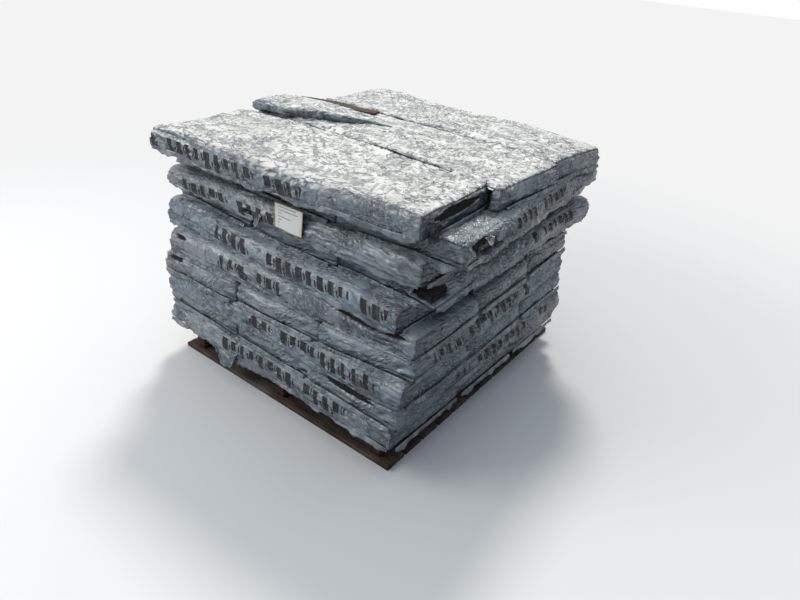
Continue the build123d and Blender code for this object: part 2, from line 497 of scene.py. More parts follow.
def dust_group():
    """Pale dust that lies on faces turned up and gathers in blotches; the paleness on faces turned up
    is partly painted light from above.
    """
    def build(n, given):
        place = given["Position"]
        up_facing_dust_and_light = n.ramp(n.split(n.put("ShaderNodeNewGeometry", out="Normal"))["Z"], 0.15, 0.8)
        blotch = n.ramp(n.cloud(place, 7.0, 5.0, 0.65), 0.3, 0.62, 0.78, 1.0)
        speck = n.ramp(n.cloud(place, 160.0, 3.0, 0.7), 0.35, 0.7, 0.75, 1.0)
        return {"Mask": n.times(up_facing_dust_and_light, blotch, speck, given["Amount"])}
    return shader_group("Settled dust", {"Position": None, "Amount": 1.0}, build)


def grain_group():
    """Sawn wood: long fibres, darker late wood, knots left out, grey weathering."""
    def build(n, given):
        place = given["Position"]
        fibre = n.cloud(n.scale(place, (1.0, 14.0, 14.0)), 9.0, 6.0, 0.7)
        fine = n.cloud(n.scale(place, (2.0, 60.0, 60.0)), 11.0, 3.0, 0.7)
        grey = n.ramp(n.cloud(place, 6.0, 4.0), 0.38, 0.66)
        body = n.mix(n.ramp(fibre, 0.32, 0.68), given["Dark"], given["Light"])
        aged = n.mix(n.times(grey, given["Weathering"]), body, WEATHERED_GREY)
        return {"Color": aged, "Height": n.plus(fibre, n.times(fine, 0.6))}
    inputs = {"Position": None, "Dark": (0.02, 0.014, 0.01, 1), "Light": (0.09, 0.06, 0.04, 1),
              "Weathering": 0.6}
    return shader_group("Weathered grain", inputs, build)


def new_material(name, specular):
    """Material with an empty Principled BSDF and its nodes."""
    made = bpy.data.materials.new(name)
    made.use_nodes = True
    shader = made.node_tree.nodes["Principled BSDF"]
    shader.inputs["Specular IOR Level"].default_value = specular
    return made, Nodes(made.node_tree), shader


def film_material(film):
    """Blue-grey printed film, bleached and dusty where it lies open to the sky, with painted top light,
    crest highlights and shade in creases and openings.
    """
    made, n, shader = new_material("wrap_film", 0.5)
    rest = n.value("rest", "Vector")
    tone, crease, sky = (n.value(name) for name in ("tone", "crease", "open_sky"))
    parts = n.split(rest)
    placed = n.shift(rest, n.put("ShaderNodeCombineXYZ", (tone, tone, tone)))
    crossed = n.put("ShaderNodeCombineXYZ", (parts["Y"], parts["X"], parts["Z"]))
    on_end = n.over(n.value("on_end"), 0.5)
    flow = n.put("ShaderNodeMix", {0: on_end, 4: placed, 5: crossed}, out=1, data_type="VECTOR")
    finer = {0: flow, "Scale": n.ramp(sky, 0.5, 1.0, 1.0, 1.2)}
    drawn = n.put("ShaderNodeVectorMath", finer, operation="SCALE")
    crinkle = n.group(crinkle_group(), Position=drawn, Broad=n.ramp(sky, 0.5, 0.85, 1.0, 0.3))
    scribble = n.group(scribble_group(), Position=placed)["Mask"]
    # Dust mask, which also paints the faces turned up paler as top light
    dust = n.group(dust_group(), Position=placed, Amount=sky)["Mask"]
    open_top = n.ramp(sky, 0.5, 0.85)

    # Film under the dust
    mottle = n.cloud(placed, 5.0, 5.0, 0.6)
    cool = n.mix(n.ramp(mottle, 0.3, 0.7), film.film_dark, film.film_light)
    own = n.times(n.math("FRACT", n.times(tone, 5.37)), 0.5)
    # Fold crests paled toward the crest colour: partly whitened film, partly painted highlight
    high = n.most(n.value("crest"), n.ramp(crinkle["Height"], 0.66, 1.0, 0.0, 0.8))
    worn = n.mix(n.times(high, 0.35), n.mix(own, cool, film.film_grey), film.crest_whitening_and_highlight)
    # Painted shade: low crinkle valleys, the crinkle's crease lines and the crease value darken the
    # film toward the crease shade
    low = n.ramp(crinkle["Height"], 0.30, 0.05, 0.0, 0.7)
    lines = n.most(n.times(crinkle["Line"], 0.9), low, crease)
    folded = n.mix(n.times(lines, 0.82), worn, CREASE_SHADE)

    # Printed rows
    side_row = n.group(blocks_group(), Position=placed, Along=parts["X"], Up=parts["Z"],
                       Middle=n.value("print_up"), Height=SIDE_ROW, Pitch=SIDE_ROW, Seed=tone,
                       Centre=n.value("print_at"), Reach=n.value("print_reach"))
    side_ink = n.times(side_row["Mask"], n.under(parts["Y"], SIDE_FROM))
    rows = []
    for across, height, pitch, share in TOP_ROWS:
        row = n.group(blocks_group(), Position=placed, Along=parts["X"], Up=parts["Y"], Middle=across,
                      Height=height, Pitch=pitch, Seed=n.plus(tone, across * 40), Reach=TOP_REACH)
        rows.append(n.times(row["Mask"], share))
    top_ink = n.times(n.most(*rows), n.over(parts["Z"], TOP_FROM))

    # Dust with the print that shows through it, and painted shade in its valleys and creases
    # Pale top colour mottled at random: dust and bleaching, partly painted top light
    dust_and_top_light_tone = n.mix(n.ramp(n.cloud(placed, 14.0, 5.0, 0.7), 0.3, 0.7), film.warm_dust_and_top_light, film.pale_dust_and_top_light)
    # Painted shade: low crinkle valleys and the scribbled creases darken the dusty top
    valley_shade = n.ramp(crinkle["Height"], 0.30, 0.10, 0.0, 0.50)
    ink_and_valley_shade = n.most(n.times(top_ink, 0.62), n.times(scribble, 0.9), valley_shade)
    dusty_top_with_shade = n.mix(n.times(crease, 0.7), n.mix(ink_and_valley_shade, dust_and_top_light_tone, film.top_ink_and_valley_shade), DUSTY_CREASE_SHADE)
    printed = n.mix(side_ink, n.mix(dust, folded, dusty_top_with_shade), INK)
    rough = n.plus(n.ramp(mottle, 0.3, 0.7, 0.24, 0.34), n.times(dust, 0.26), n.times(side_ink, 0.30))
    flatter = n.times(crinkle["Height"], n.minus(1.0, n.times(open_top, 0.50)))
    # Painted shade: film inside an opening turns near black
    n.feed(shader, {
        "Base Color": n.mix(n.value("hollow"), printed, HOLLOW_SHADE),
        "Roughness": rough,
        "Normal": n.bump(n.plus(flatter, n.times(scribble, open_top, -0.25)), FILM_RELIEF),
    })
    return made


def shingle_material():
    """Asphalt edges with mineral granules."""
    made, n, shader = new_material("shingle_edge", 0.3)
    grit = n.cloud(n.value("rest", "Vector"), 900.0, 2.0, 0.8)
    black = n.mix(n.ramp(grit, 0.42, 0.66), *BLACK_GRANULES)
    brown = n.mix(n.ramp(grit, 0.35, 0.7), *BROWN_GRANULES)
    n.feed(shader, {
        "Base Color": n.mix(n.value("tone"), black, brown),
        "Roughness": n.ramp(grit, 0.3, 0.7, 0.7, 0.95),
        "Normal": n.bump(grit, GRIT_RELIEF),
    })
    return made


def wood_material(pallet):
    """Old pallet lumber, red-brown on the cut ends."""
    made, n, shader = new_material("pallet_wood", 0.25)
    tone = n.value("tone")
    placed = n.shift(n.value("rest", "Vector"), n.put("ShaderNodeCombineXYZ", (tone, tone, tone)))
    grain = n.group(grain_group(), Position=placed, Dark=rgba(pallet.wood_dark),
                    Light=rgba(pallet.wood_light), Weathering=0.55)
    red = n.mix(n.ramp(grain["Height"], 0.5, 1.0), *CUT_REDS)
    cut = n.mix(n.value("cut_end"), grain["Color"], red)
    # Painted shade in the splits, and dirt near the ends, darken the wood
    n.feed(shader, {
        "Base Color": n.mix(n.times(n.value("crease"), 0.6), cut, GRIME_AND_SPLIT_SHADE),
        "Roughness": n.ramp(grain["Height"], 0.4, 1.1, 0.95, 0.7),
        "Normal": n.bump(grain["Height"], GRAIN_RELIEF, 0.9),
    })
    return made


def paper_material(tag):
    """White card with a yellow rim and plain grey ruled lines."""
    made, n, shader = new_material("tag_paper", 0.35)
    rest = n.value("rest", "Vector")
    parts = n.split(rest)
    row = n.math("DIVIDE", parts["Z"], RULED_PITCH)
    reach = n.times(n.dice(n.math("FLOOR", row)), 0.085)
    along = n.minus(parts["X"], RULED_START)
    mark = n.times(n.under(n.math("FRACT", row), 0.24), n.under(along, reach), n.over(along, 0.0))
    fibre = n.cloud(rest, 300.0, 3.0)
    card = n.mix(n.ramp(fibre, 0.3, 0.7), CARD_FIBRE_DULL, CARD_WHITE)
    lined = n.mix(n.times(mark, 0.8), card, RULED_GREY)
    starts = {"X": tag.rim_x, "Z": tag.rim_z}
    rims = [n.over(n.math("ABSOLUTE", parts[way]), start) for way, start in starts.items()]
    n.feed(shader, {
        "Base Color": n.mix(n.times(n.most(*rims), 0.85), lined, RIM_YELLOW),
        "Roughness": n.ramp(fibre, 0.3, 0.7, 0.5, 0.62),
        "Normal": n.bump(fibre, PAPER_RELIEF),
    })
    return made


def material(name, build, *given):
    return bpy.data.materials.get(name) or build(*given)


# Where each piece lies, read from the frame

COURSES = 10
LETTERS = "abc"
DECK_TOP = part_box("top_board_01")[1].z
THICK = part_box("bundle_05b")[1].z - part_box("bundle_05b")[0].z
BOARDS = [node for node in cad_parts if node.startswith("top_board")]
DECK_HALF_X = max(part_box(node)[1].x for node in BOARDS)
DECK_BACK = max(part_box(node)[1].y for node in BOARDS)
DECK_FRONT = min(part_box(node)[0].y for node in BOARDS)
DECK_HALF_Y = (DECK_BACK - DECK_FRONT) / 2
MIDDLE_Y = (DECK_BACK + DECK_FRONT) / 2

# Band above a bundle's foot where the CAD mesh shows its plain outline, the flat seal on each end, and
# the turns that are tried, in degrees
CLEAR_LOW = 0.030
CLEAR_HIGH = 0.060
SEAL = 0.009
TURN_STEP = 0.05
TURN_STEPS = 80


def lie_of(node):
    """Middle, turn, base and half sizes of a bundle, from the middle band of its CAD mesh."""
    base = DECK_TOP + (COURSES - int(node[7:9])) * THICK
    co = np.array([v.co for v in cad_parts[node].data.vertices])
    co = co[(co[:, 2] > base + CLEAR_LOW) & (co[:, 2] < base + CLEAR_HIGH)]
    runs_back = np.ptp(co[:, 1]) > np.ptp(co[:, 0])
    fits = []
    for step in range(-TURN_STEPS, TURN_STEPS + 1):
        turn = math.radians(step * TURN_STEP + (90 if runs_back else 0))
        u, v = spin(co[:, 0], co[:, 1], -turn)
        length, width = np.ptp(u), np.ptp(v)
        fits.append((length * width, turn, u.min() + u.max(), v.min() + v.max(), length, width))
    _, turn, along, across, length, width = min(fits)
    middle = np.array(spin(along, across, turn)) / 2
    return {"middle": middle, "turn": turn, "base": base, "runs_back": runs_back,
            "half_long": length / 2 - SEAL, "half_wide": width / 2}


lies = {node: lie_of(node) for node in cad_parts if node.startswith("bundle")}

# Places where the courses stand higher than on a level stack: boundary, place from the deck's middle,
# reach, rise
HUMPS = [
    (8, (-0.55, -0.50), 0.22, 0.007),
    (7, (-0.55, -0.50), 0.24, 0.018),
    (6, (-0.55, -0.50), 0.26, 0.026),
    (5, (-0.55, -0.50), 0.20, 0.004),
    (4, (0.50, -0.52), 0.16, 0.010),
    (3, (0.50, -0.52), 0.18, 0.014),
    (2, (0.50, -0.52), 0.16, 0.009),
]

# Slack film that closes the wedge beside a bundle that stands askew: side, spread for each metre,
# spread at the tip
SPREADS = {
    "bundle_01a": (1, 0.045, 0.009),
    "bundle_01b": (-1, 0.0, 0.014),
    "bundle_01c": (-1, 0.027, 0.004),
    "bundle_02a": (-1, 0.026, 0.0),
    "bundle_02c": (1, 0.058, 0.0),
}
NO_SPREAD = (1, 0.0, 0.0)

# Printed rows: middle along the bundle, middle above its mid height, half length
PRINTS = {
    "bundle_01a": (-0.19, -0.010, 0.32),
    "bundle_03a": (-0.16, -0.012, 0.26),
    "bundle_05a": (0.11, 0.006, 0.35),
    "bundle_06a": (-0.12, 0.002, 0.14),
    "bundle_08a": (0.16, 0.006, 0.27),
    "bundle_10a": (0.06, 0.006, 0.27),
    "bundle_02c": (-0.02, 0.002, 0.19),
    "bundle_07c": (-0.10, 0.004, 0.30),
    "bundle_09c": (0.10, 0.000, 0.30),
    "bundle_04c": (0.20, 0.006, 0.16),
}
NO_PRINT = (0.0, 0.0, 0.0)


# Sizes of the waves in the courses and of the short ones along their rims, and the rim's place
COURSE_WAVES = (0.42, 0.42, 1.0)
RIM_WAVES = (0.13, 0.13, 1.0)
RIM_AT = 0.5


def settle(level, x, y, film):
    """How far the boundary on top of a number of courses has sunk or risen, in metres."""
    y = y - MIDDLE_Y
    flat = columns(x, y, level * 1.7)
    if level == 0:
        past = np.maximum(np.maximum(np.abs(x) - DECK_HALF_X, np.abs(y) - DECK_HALF_Y), 0)
        return -film.edge_sag * smooth_step(0, 0.05, past)
    wave = film.course_wave * layered(flat, COURSE_WAVES, 3, 2) * min(level, 3) / 3
    rim = np.maximum(np.abs(x), np.abs(y)) / RIM_AT
    if level < COURSES:
        wave += film.rim_wave * noise(flat, RIM_WAVES, 6) * smooth_step(0.8, 1.0, rim)
    for boundary, (hump_x, hump_y), reach, rise in HUMPS:
        if boundary == level:
            wave = wave + rise * np.exp(-((x - hump_x) ** 2 + (y - hump_y) ** 2) / reach ** 2)
    return wave - film.edge_sag * smooth_step(0.72, 1.08, rim)


# Way along each face: "side" and "far" are the long sides at -across and +across, "tip" and "tail" the
# ends at +along and -along
FACES = {"side": (1.0, 0, 0), "far": (-1.0, 0, 0), "tip": (0, 1.0, 0), "tail": (0, -1.0, 0)}

# Openings in the film: node, face, middle along and up the face, size, and what the mouth looks like
OPENINGS = [
    ("bundle_01a", "tip", 0.000, 0.008, 0.236, 0.030, "lens"),
    ("bundle_02c", "side", -0.383, 0.002, 0.140, 0.046, "tear"),
    ("bundle_06a", "side", 0.340, 0.019, 0.270, 0.024, "slot"),
    ("bundle_06a", "side", -0.440, 0.018, 0.052, 0.014, "slot"),
    ("bundle_09c", "tail", 0.000, 0.016, 0.196, 0.018, "slot"),
    ("bundle_07a", "tail", -0.110, 0.020, 0.070, 0.016, "slot"),
    ("bundle_03a", "side", -0.105, -0.022, 0.070, 0.024, "tear"),
    ("bundle_04c", "tail", 0.122, 0.006, 0.090, 0.046, "tear"),
    ("bundle_04c", "side", -0.470, 0.006, 0.080, 0.036, "tear"),
]

# How far the film sinks in an opening, and how far its rim is lifted
RECESS = 0.013
RIM_LIFT = 0.003

# Edges of the shingles in the openings: pitch, depth, how far they lie back, how uneven they are cut,
# and how far they slip up or down
SHINGLE_PITCH = 0.0031
SLAB_DEPTH = 0.016
SLAB_BACK = 0.0035
SLAB_FRAY = 0.0013
SLAB_SLIP = 0.0004

# Bundle that the tag hangs on, and how far the tag stands off it
TAG_BUNDLE = "bundle_03a"
TAG_STAND = 0.012

# Bands near the edges of a covered bundle that can still show, above and below
TOP_BAND = 0.072
BOTTOM_BAND = 0.030

# Spacing of the film's points: open top, covered bundles along and across, up the sides, and the middle
# of an inner bundle between its end bands
OPEN_CUT = 0.0046
COVERED_CUTS = (0.0055, 0.0058)
UPRIGHT_CUT = 0.0034
INNER_CUT = 0.05
INNER_BAND = 0.075

# Spacing of the points of the other pieces
SLAB_CUT = 0.011
TONGUE_CUT = 0.003
SKIRT_CUT = 0.008
FLAP_CUT = 0.0042
STRIP_CUTS = (0.005, 0.004)
TAG_CUT = 0.004

# Half thicknesses of thin sheets
SLAB_HALF = 0.0011
TONGUE_HALF = 0.0006
SKIRT_HALF = 0.0005
TAG_HALF = 0.0004

# How far a skirt ends short of the bundle's corners, starts above its foot, and hangs at the most
SKIRT_INSET = 0.012
SKIRT_RISE = 0.010
SKIRT_LONGEST = 0.026

# Torn tongues of film: bundle, face, middle along, top edge, width, drop, how far off, curl,
# share of dust and painted top light, share of painted hollow shade
TONGUES = [
    ("bundle_10a", "side", -0.190, -0.004, 0.118, 0.088, 0.006, 0.010, 0.4, 0.0),
    ("bundle_02c", "side", -0.390, 0.030, 0.036, 0.026, 0.004, 0.010, 1.0, 0.0),
    ("bundle_02c", "side", -0.325, 0.026, 0.060, 0.030, 0.003, 0.006, 0.7, 0.0),
    ("bundle_03a", "side", -0.078, -0.006, 0.040, 0.044, 0.005, 0.012, 0.3, 0.0),
    ("bundle_01a", "tip", -0.128, 0.000, 0.056, 0.032, 0.004, 0.008, 0.0, 1.0),
    ("bundle_04c", "tail", 0.096, 0.030, 0.050, 0.036, 0.003, 0.010, 0.3, 0.0),
]

# Lifted flap and bared strip on the middle top bundle: half sizes, then share of the flap's length,
# front edge, back edge, rise
FLAP_BUNDLE = "bundle_01b"
FLAP_SIZE = (0.23, 0.066, 0.018)
FLAP = [
    (0.00, -0.508, -0.176, -0.500, -0.070, 0.026),
    (0.10, -0.470, -0.186, -0.465, -0.050, 0.038),
    (0.35, -0.330, -0.186, -0.350, 0.000, 0.036),
    (0.65, -0.215, -0.085, -0.235, 0.044, 0.028),
    (0.85, -0.130, 0.006, -0.150, 0.066, 0.015),
    (1.00, -0.062, 0.044, -0.068, 0.070, 0.003),
]

# Bared strip: half sizes, place along, across and above the bundle, and its turn in degrees
STRIP_SIZE = (0.165, 0.021, 0.002)
STRIP_AT = (-0.365, 0.103, 0.007)
STRIP_SLANT = 13


def opening_mask(opening, along, up):
    """1 inside a mouth in the film and 0 outside, with a soft rim."""
    _, _, middle, height, length, tall, shape = opening
    u = (along - middle) / (length / 2)
    if shape == "lens":
        edge = np.clip(1 - u ** 2, 0, 1)
        v = (up - height) / (tall / 2) / np.maximum(edge, 0.03)
        return smooth_step(1.15, 0.75, np.abs(v)) * smooth_step(1.05, 0.95, np.abs(u))
    if shape == "slot":
        frayed = columns(along, np.sign(up - height) * 0.5, 0)
        edge = np.clip(1 - np.abs(u) ** 2.5, 0.02, 1) * (1 + 0.30 * noise(frayed, (0.014, 1, 1), 9))
        v = (up - height + 0.10 * tall * u) / (tall / 2)
        return smooth_step(1.2, 0.8, np.abs(v) / edge) * smooth_step(1.06, 0.96, np.abs(u))
    flat = columns(along, up, 0)
    ragged = 1 + 0.35 * noise(flat, 0.022, 5)
    v = (up - height) / (tall / 2)
    tilt = v + 0.35 * u
    return smooth_step(1.15, 0.85, np.hypot(u, tilt) / ragged)


def face_frame(lie, face):
    """Ways along and out of a face, and how far it stands from the middle."""
    way = FACES[face]
    half = lie["half_long"] if face in ("tip", "tail") else lie["half_wide"]
    return np.array(way), np.array([way[1], -way[0], 0.0]), half


def hung(rest, face_at, middle, off, height):
    """Places of points that hang off a face: along it from a middle, out of it, and up to a height."""
    way, out, reach = face_at
    places = (rest[:, :1] + middle) * way + (reach + off)[:, None] * out
    places[:, 2] = height
    return places


# How far the ends are drawn in, and how far the side gussets are folded over them
END_REACH = 0.05
GUSSET = THICK * 0.75


def drawn_ends(shape, rest, lie, seed, film):
    """Ends folded like a parcel: side gussets tucked in, a soft broken seal about mid height, and
    painted shade in the tucks and under the seal.
    """
    x, y, z = shape.T
    end = np.sign(x)
    near = near_edge(rest[:, 0], lie["half_long"], END_REACH)
    up = rest[:, 2] / (THICK / 2)
    flat = columns(y, end * 3.0, 0)
    on_end = near_edge(rest[:, 0], lie["half_long"], 0.006)
    past_fold = lie["half_wide"] - np.abs(rest[:, 1]) - GUSSET * (1 - np.abs(up))
    gusset = smooth_step(0.012, -0.012, past_fold)
    wave = 0.35 * noise(flat, (0.09, 1, 1), seed) - 0.15
    there = smooth_step(-0.25, 0.2, noise(flat, (0.07, 1, 1), seed + 2))
    fin = bell(up - wave, 0.16) * there
    slack = 0.005 * noise(rest, (1.0, 0.14, 0.08), seed + 3)
    sunk = 0.006 * np.abs(up) ** 2 + 0.005 * gusset * (1 - np.abs(up))
    push = on_end * (slack - sunk + film.seal_depth * fin)
    out = columns(x + end * push, y * (1 - 0.008 * near), z * (1 - 0.04 * near))
    # Painted shade in the gusset tucks and under the seal fin
    tuck = bell(past_fold, 0.006)
    shade_under_fin = bell(up - wave + 0.28, 0.1) * there
    return out, near, on_end * np.clip(0.7 * tuck + 0.8 * shade_under_fin, 0, 1)


# Sizes of billows, crumples and pleats, and of the patches where they gather, along, across and up
BILLOWS = (0.30, 0.20, 0.12)
FOLD_PATCHES = (0.24, 0.15, 0.20)
CRUMPLES = (0.06, 0.035, 0.028)
CRUMPLE_PATCHES = (0.18, 0.15, 0.2)
PLEATS = (0.013, 1, 0.06)
PLEAT_PATCHES = (0.22, 1, 1)
TOP_LINES = (0.060, 0.015, 0.05)

# Sets of folds: slant in height and across for each metre along, size along, width, depth
FOLD_SETS = [
    (-0.06, 0.05, 0.34, 0.021, 1.0),
    (-0.36, 0.45, 0.24, 0.019, 0.9),
    (0.50, -0.70, 0.15, 0.022, 0.6),
    (-1.10, 1.30, 0.10, 0.022, 0.7),
]


def film_wrinkles(rest, near_end, on_end, seed, film, top_open):
    """Height of the folds and how deep in a crease each point is, for painted crease shade, with folds
    along the ends too.
    """
    height, valley_shade = wrinkles_along(rest, near_end, seed, film, top_open)
    ends = on_end > 0.001
    turned = rest[ends][:, [1, 0, 2]]
    end_height, end_valley = wrinkles_along(turned, near_end[ends] * 0.2, seed + 40, film, False, 0.3)
    height[ends] += on_end[ends] * (0.6 * end_height - height[ends])
    valley_shade[ends] += on_end[ends] * (end_valley - valley_shade[ends])
    return height, valley_shade


def wrinkles_along(rest, near_end, seed, film, top_open, pleats=1.0):
    """Height and creases of folds that run along the first axis; the creases are darkened with painted
    shade.
    """
    x, y, z = rest.T
    warp = 0.007 * noise(rest, 0.07, seed + 1)
    height = 3 * film.billow_depth * noise(rest, BILLOWS, seed + 2) * 0.5
    valley_shade = np.zeros(len(rest))
    for number, (rise, aside, long_size, width, depth) in enumerate(FOLD_SETS):
        lined = columns(x, y - aside * x + warp, z - rise * x + warp)
        field = noise(lined, (long_size, width * 1.5, width), seed + 3 + number)
        patch = smooth_step(-0.10, 0.35, noise(rest, FOLD_PATCHES, seed + 8 + number))
        height += film.fold_depth * depth * patch * (crests(field, 2.6, 1.6) - 0.3)
        valley_shade = np.maximum(valley_shade, patch * bell(field - 0.34, 0.06))
    crumple = layered(rest, CRUMPLES, seed + 13)
    patch = smooth_step(0.15, 0.5, noise(rest, CRUMPLE_PATCHES, seed + 14))
    loose = 0.10 + 0.6 * patch + 0.25 * near_end
    height += film.crumple_depth * crumple * loose
    valley_shade = np.maximum(valley_shade, 0.8 * loose * np.clip(-crumple * 1.8 - 0.25, 0, 1))
    edge = smooth_step(0.35, 0.95, np.abs(z) / (THICK / 2)) * smooth_step(0.10, 0.165, np.abs(y))
    pleated = columns(x + 0.25 * z, 0, z * 0.2)
    gather = smooth_step(-0.1, 0.4, noise(pleated, PLEAT_PATCHES, seed + 16))
    pleat = ridges(pleated, PLEATS, seed + 15, 1.0) * edge * gather * pleats
    height += film.pleat_depth * pleat
    valley_shade = np.maximum(valley_shade, 0.45 * pleats * edge * gather * (1 - np.clip(pleat * 1.6, 0, 1)))
    if top_open:
        lines = noise(columns(x, y + 0.25 * x, z), TOP_LINES, seed + 17)
        height += film.fold_depth * 0.4 * crests(lines, 2.5)
    return height, valley_shade


def bundle_grid(name, open_top):
    """Cut stations for one bundle: fine where it can be seen, coarse where it is buried."""
    lie = lies[name]
    along, across = (OPEN_CUT, OPEN_CUT) if open_top else COVERED_CUTS
    inner = (INNER_CUT, INNER_BAND, INNER_BAND) if name.endswith("b") and not open_top else ()
    xs = stations(lie["half_long"], along, *inner)
    return xs, stations(lie["half_wide"], across), stations(THICK / 2, UPRIGHT_CUT)


def buried(name, points, open_top):
    """Points that other bundles cover on every side."""
    lie = lies[name]
    x, y, z = points.T
    deep = lie["half_long"] - np.abs(x)
    outer = {"a": y + lie["half_wide"], "b": np.full_like(y, 1.0), "c": lie["half_wide"] - y}[name[-1]]
    if lie["runs_back"] and name[-1] != "b":
        outer = 2 * lie["half_wide"] - outer
    near = np.minimum(deep, outer)
    on_top = z > THICK / 2 - 1e-6
    on_bottom = z < -THICK / 2 + 1e-6
    between = (np.abs(y) > lie["half_wide"] - 1e-6) & (outer > 0.02) & (deep > 0.03) & ~on_top
    cover = np.zeros(len(points), bool) if open_top else on_top & (near > TOP_BAND)
    return cover | (on_bottom & (near > BOTTOM_BAND)) | between


def laid(name, shape, film):
    """World places of points given along, across and up from the middle of a bundle."""
    lie = lies[name]
    x, y = spin(shape[:, 0], shape[:, 1], lie["turn"]) + lie["middle"][:, None]
    level = COURSES - int(name[7:9])
    share = shape[:, 2] / THICK + 0.5
    kept = np.clip(share, 0, 1)
    sunk = (1 - kept) * settle(level, x, y, film) + kept * settle(level + 1, x, y, film)
    return columns(x, y, lie["base"] + THICK / 2 + shape[:, 2] + sunk)


def seed_of(name):
    return int(name[7:9]) * 31 + LETTERS.index(name[-1]) * 11


def add_to_bundle(name, piece, local, faces, finish, film, values, **options):
    """Piece whose points are given from the middle of a bundle."""
    return make_object(piece, laid(name, local, film), faces, finish, "film", values, **options)


# How open to the sky film lies, which sets its share of dust and painted top light
OPEN_SKY = 1.0
FLAP_SKY = 0.85
COVERED_SKY = 0.25


def look(name, rest, crease, crest, hollow, sky, printed=False, on_end=0.0):
    """Values that the film material reads at each point."""
    at, up, reach = PRINTS.get(name, NO_PRINT) if printed else NO_PRINT
    values = {"tone": (seed_of(name) % 97) * 0.37, "crease": crease, "crest": crest, "hollow": hollow,
              "open_sky": sky, "on_end": on_end, "print_at": at, "print_up": up, "print_reach": reach}
    return {"rest": rest, **{key: np.zeros(len(rest)) + value for key, value in values.items()}}


def spread_of(name, rest, half):
    """How far the film of a bundle that stands askew reaches out beside it."""
    side, rate, at_tip = SPREADS.get(name, NO_SPREAD)
    tip = smooth_step(half[0] - 0.12, half[0] - 0.06, rest[:, 0])
    spread = rate * (half[0] - rest[:, 0]) + at_tip * tip
    return side * spread * smooth_step(-0.3, 1.0, side * rest[:, 1] / half[1])


def sink_openings(name, shape, rest):
    """Presses the openings of a bundle into its shape. Gives back how far inside one each point is,
    which the film material paints near black as shade.
    """
    hollow = np.zeros(len(rest))
    for opening in OPENINGS:
        if opening[0] == name:
            ahead, out, reach = face_frame(lies[name], opening[1])
            on_face = smooth_step(reach - 0.012, reach - 0.004, rest @ out)
            inside = opening_mask(opening, rest @ ahead, rest[:, 2]) * on_face
            rim = inside * (1 - inside) * 4
            shape -= (inside * RECESS - rim * RIM_LIFT)[:, None] * out
            hollow = np.maximum(hollow, inside)
    return hollow


def build_bundle(name, film, finish):
    """One wrapped bundle as a folded film skin around its pack."""
    lie = lies[name]
    seed = seed_of(name)
    open_top = name.startswith("bundle_01")
    rest, quads = grid_box(*bundle_grid(name, open_top))
    used, faces = open_faces(rest, quads, buried(name, rest, open_top))
    rest = rest[used]
    half = np.array([lie["half_long"], lie["half_wide"], THICK / 2])
    shape, way = rounded(rest, half, film.edge_radius, film.foot_radius)
    shape, near_end, end_crease_shade = drawn_ends(shape, rest, lie, seed, film)
    vertical = np.abs(way[:, 2])
    on_end = near_edge(rest[:, 0], half[0], 0.010, 0.001) * (1 - vertical ** 2)
    folds, valley_shade = film_wrinkles(rest, near_end, on_end, seed, film, open_top)
    up = rest[:, 2] / (THICK / 2)
    on_long = near_edge(rest[:, 1], half[1], 0.02)
    belly = film.side_bulge * (1 - np.clip(up + 0.35, -1, 1) ** 2)
    slack = film.side_slack * noise(rest, (0.26, 1.0, 0.6), seed + 20)
    flat_share, sky = (1.0, OPEN_SKY) if open_top else (0.45, COVERED_SKY)
    shape += way * (folds * (1 - vertical + vertical * flat_share))[:, None]
    shape[:, 1] += np.sign(rest[:, 1]) * on_long * (belly + slack)
    shape[:, 1] += spread_of(name, rest, half)
    hollow = sink_openings(name, shape, rest)
    crest = np.clip(folds / (film.fold_depth * 1.1), 0, 1)
    # Painted shade along the foot of each side, where it meets the course below, and in the creases and
    # tucks
    foot = 0.75 * smooth_step(-0.70, -0.98, up) * smooth_step(0.6, 0.0, vertical - 0.4)
    crease = np.maximum(np.maximum(valley_shade, foot), end_crease_shade * 0.85)
    values = look(name, rest, crease, crest, hollow, sky, True, on_end)
    return add_to_bundle(name, f"film_{name}", shape, faces, finish, film, values, replaces=name)


def joined(pieces):
    """One list of points and faces from many."""
    starts = np.cumsum([0] + [len(points) for points, _ in pieces])
    points = np.concatenate([points for points, _ in pieces])
    faces = np.concatenate([quads + start for (_, quads), start in zip(pieces, starts)])
    return points, faces


def shingle_stack(number, opening, finish, film):
    """Edges of the shingles that show in one opening, each a thin slab of its own."""
    name, face, middle, height, length, tall, shape = opening
    rng = np.random.default_rng(number + 40)
    rows = int(tall * 1.05 / SHINGLE_PITCH)
    slabs = []
    for row in range(rows):
        up = height + (row - (rows - 1) / 2) * SHINGLE_PITCH
        level = min(1.0, abs(up - height) / (tall / 2))
        share = math.sqrt(max(0.05, 1 - level * level)) if shape == "lens" else 1 - 0.25 * level
        half = length / 2 * share
        cuts = stations(half, SLAB_CUT)
        rest, quads = grid_box(cuts, np.array([0.0, SLAB_DEPTH]), sheet(SLAB_HALF))
        uneven = np.interp(rest[:, 0], cuts, rng.uniform(-SLAB_FRAY, SLAB_FRAY, len(cuts)))
        back = SLAB_BACK + rng.uniform(0, SLAB_BACK)
        depth = back + rest[:, 1] + uneven * (rest[:, 1] < SLAB_DEPTH / 2)
        top = rest[:, 2] + up + rng.uniform(-SLAB_SLIP, SLAB_SLIP)
        slabs.append((hung(rest, face_frame(lies[name], face), middle, -depth, top), quads))
    local, quads = joined(slabs)
    values = {"rest": local, "tone": np.zeros(len(local))}
    piece = f"shingle_edges_{number + 1}"
    return add_to_bundle(name, piece, local, quads, finish, film, values, smooth=False)


